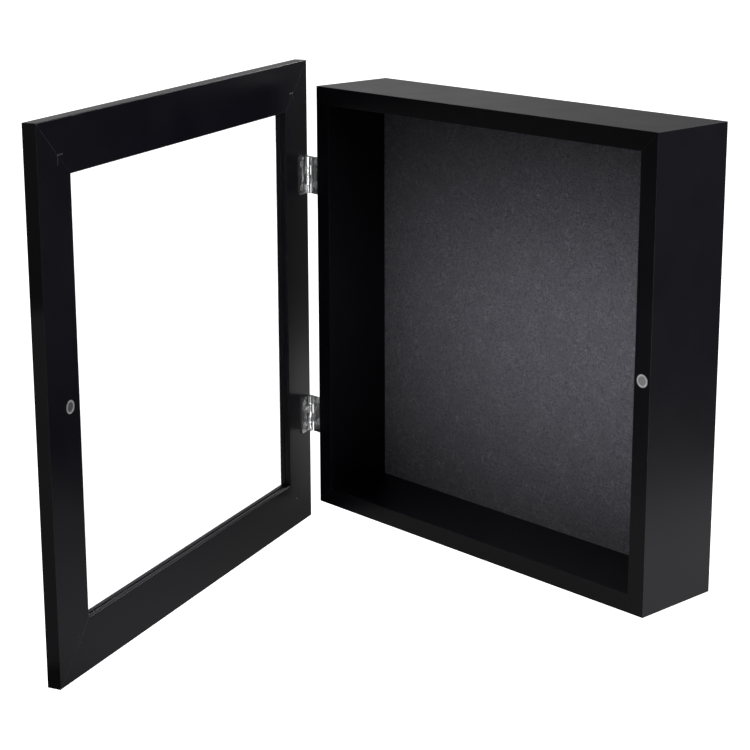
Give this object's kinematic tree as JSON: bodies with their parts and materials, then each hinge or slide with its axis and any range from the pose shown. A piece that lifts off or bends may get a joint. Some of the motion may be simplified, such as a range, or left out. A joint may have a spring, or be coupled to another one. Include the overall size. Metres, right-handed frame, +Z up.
{
  "type": "wall-hung shadow box",
  "caption": "Square black shadow box for a wall, with a felt-lined display space and an overhanging glazed door that swings on side hinges and shuts on magnets.",
  "frame": {"origin": "middle of the sawtooth hanger behind the top rail, where it meets the wall", "axes": "+X to the right seen from the front, +Y towards the wall, +Z up"},
  "size_m": [0.3587, 0.4116, 0.3681],
  "materials": {
    "black_lacquer": "satin black lacquer on fibreboard",
    "charcoal_felt": "matted charcoal felt with fine pale fibres",
    "grey_board": "plain grey board",
    "hardboard": "brown hardboard, smooth side out",
    "clear_glass": "clear float glass",
    "nickel": "bright nickel plate",
    "magnet": "dull plated magnet face",
    "zinc_steel": "zinc-plated steel, filled over in black on the door",
    "brass_plate": "brass-plated steel",
    "bumper_rubber": "matt black rubber"
  },
  "bodies": {
    "case": {"case_top_rail": "black_lacquer", "case_right_rail": "black_lacquer", "case_bottom_rail": "black_lacquer", "case_left_rail": "black_lacquer", "case_corner_nails": "zinc_steel", "backing_fabric": "charcoal_felt", "backing_board": "grey_board", "back_panel": "hardboard", "back_points": "zinc_steel", "case_magnet_cup": "nickel", "case_magnet": "magnet", "wall_hanger": "brass_plate", "hanger_nails": "brass_plate", "wall_bumpers": "bumper_rubber", "upper_hinge_case_leaf": "nickel", "upper_hinge_pin": "nickel", "upper_hinge_case_screws": "nickel", "lower_hinge_case_leaf": "nickel", "lower_hinge_pin": "nickel", "lower_hinge_case_screws": "nickel"},
    "door": {"door_top_rail": "black_lacquer", "door_latch_stile": "black_lacquer", "door_bottom_rail": "black_lacquer", "door_hinge_stile": "black_lacquer", "door_corner_nails": "zinc_steel", "door_glass": "clear_glass", "door_magnet_cup": "nickel", "door_magnet": "magnet", "upper_hinge_door_leaf": "nickel", "upper_hinge_door_screws": "nickel", "lower_hinge_door_leaf": "nickel", "lower_hinge_door_screws": "nickel"}
  },
  "joints": [
    {"name": "door_hinge", "type": "hinge", "parent": "case", "child": "door", "pos_m": [-0.1795, -0.0722, -0.16125], "axis": [0, 0, -1], "range_deg": [-67, 98]}
  ]
}
